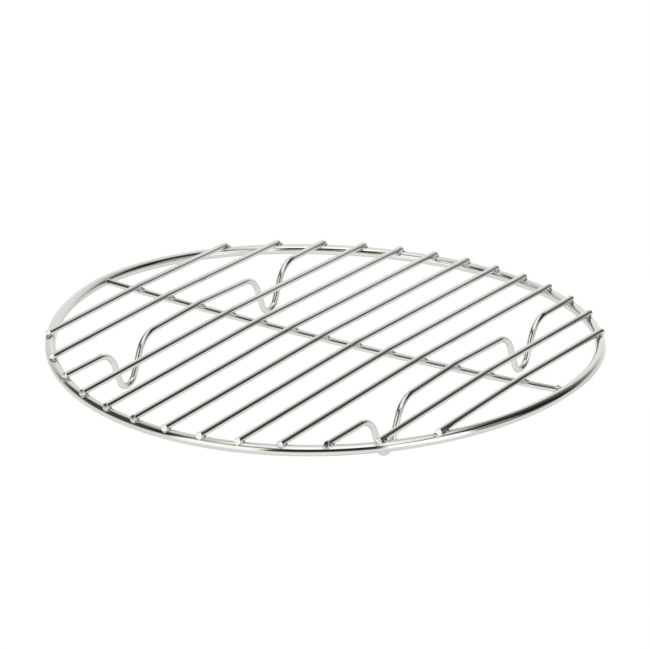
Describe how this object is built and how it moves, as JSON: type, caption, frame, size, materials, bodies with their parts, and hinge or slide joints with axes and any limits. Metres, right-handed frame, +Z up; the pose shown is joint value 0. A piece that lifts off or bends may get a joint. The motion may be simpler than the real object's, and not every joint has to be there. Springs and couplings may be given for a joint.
{
  "type": "cooling rack",
  "caption": "Round wire cooling rack: a heavy wire rim and a centre spine carry parallel cross wires, and U-shaped feet are bent into the outer wires.",
  "frame": {"origin": "on the table plane under the centre of the rim: the bottom centre of the bounding box, at the level of the four foot bottoms", "axes": "+Z up from the table to the deck; +X along the spine wire; +Y along the cross wires"},
  "size_m": [0.2804, 0.2804, 0.0289],
  "materials": {
    "rim_steel": "bright drawn stainless wire with faint lines along its length",
    "spine_steel": "polished stainless wire",
    "wire_steel": "polished stainless wire, slightly satin, with flat cut ends and small weld marks"
  },
  "bodies": {
    "root": {"rim_ring": "rim_steel", "spine_wire": "spine_steel", "leg_wire_left": "wire_steel", "leg_wire_right": "wire_steel", "cross_wire_01": "wire_steel", "cross_wire_02": "wire_steel", "cross_wire_04": "wire_steel", "cross_wire_05": "wire_steel", "cross_wire_06": "wire_steel", "cross_wire_07": "wire_steel", "cross_wire_08": "wire_steel", "cross_wire_09": "wire_steel", "cross_wire_10": "wire_steel", "cross_wire_12": "wire_steel", "cross_wire_13": "wire_steel"}
  },
  "joints": []
}
